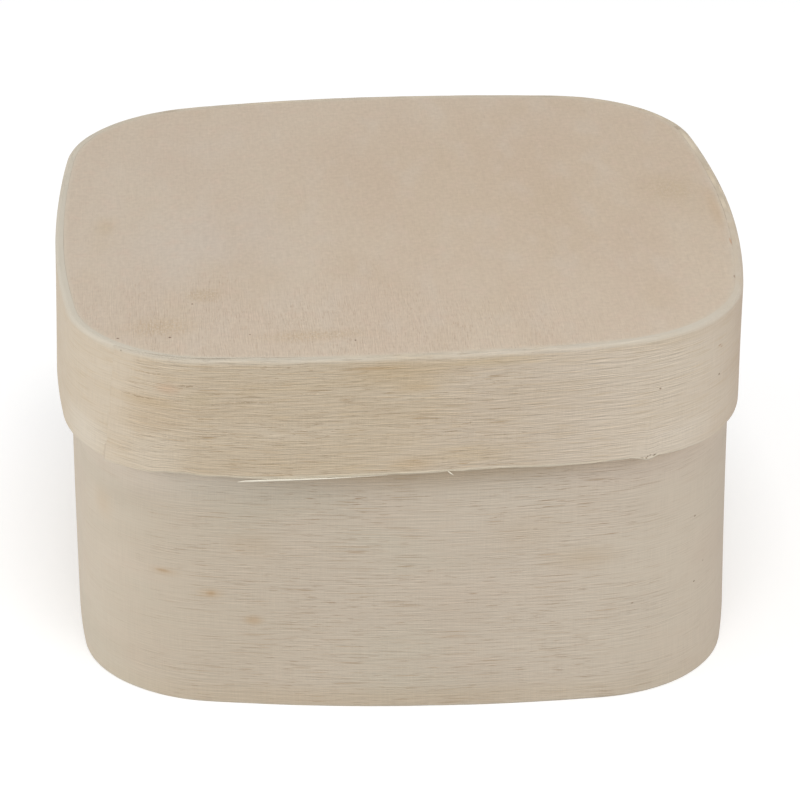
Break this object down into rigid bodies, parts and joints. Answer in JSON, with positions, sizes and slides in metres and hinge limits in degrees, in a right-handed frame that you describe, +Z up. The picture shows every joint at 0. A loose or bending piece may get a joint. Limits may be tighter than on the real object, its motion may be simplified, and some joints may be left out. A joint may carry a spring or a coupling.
{
  "type": "square box",
  "caption": "Square keepsake box of bent wood with bowed sides, round corners and a lift-off lid whose panel is set flush in its band.",
  "frame": {"origin": "middle of the underside", "axes": "+Z up, the way the lid lifts; -Y is the front, where the lid band's seam is at the left corner; +X is to the right"},
  "size_m": [0.1, 0.1, 0.0553],
  "materials": {
    "wall_wood": "raw, unsanded",
    "base_plywood": "raw, unsanded",
    "band_wood": "raw, unsanded",
    "lid_plywood": "raw, unsanded",
    "wood_glue": "dried wood glue"
  },
  "bodies": {
    "box": {"body_wall": "wall_wood", "base_panel": "base_plywood", "body_lap_glue": "wood_glue", "base_panel_glue": "wood_glue"},
    "lid": {"lid_band": "band_wood", "lid_panel": "lid_plywood", "lid_lap_glue": "wood_glue", "lid_panel_glue": "wood_glue"}
  },
  "joints": [
    {"name": "lid_lift", "type": "slide", "parent": "box", "child": "lid", "axis": [0, 0, 1], "range_m": [0, 0.06]}
  ]
}
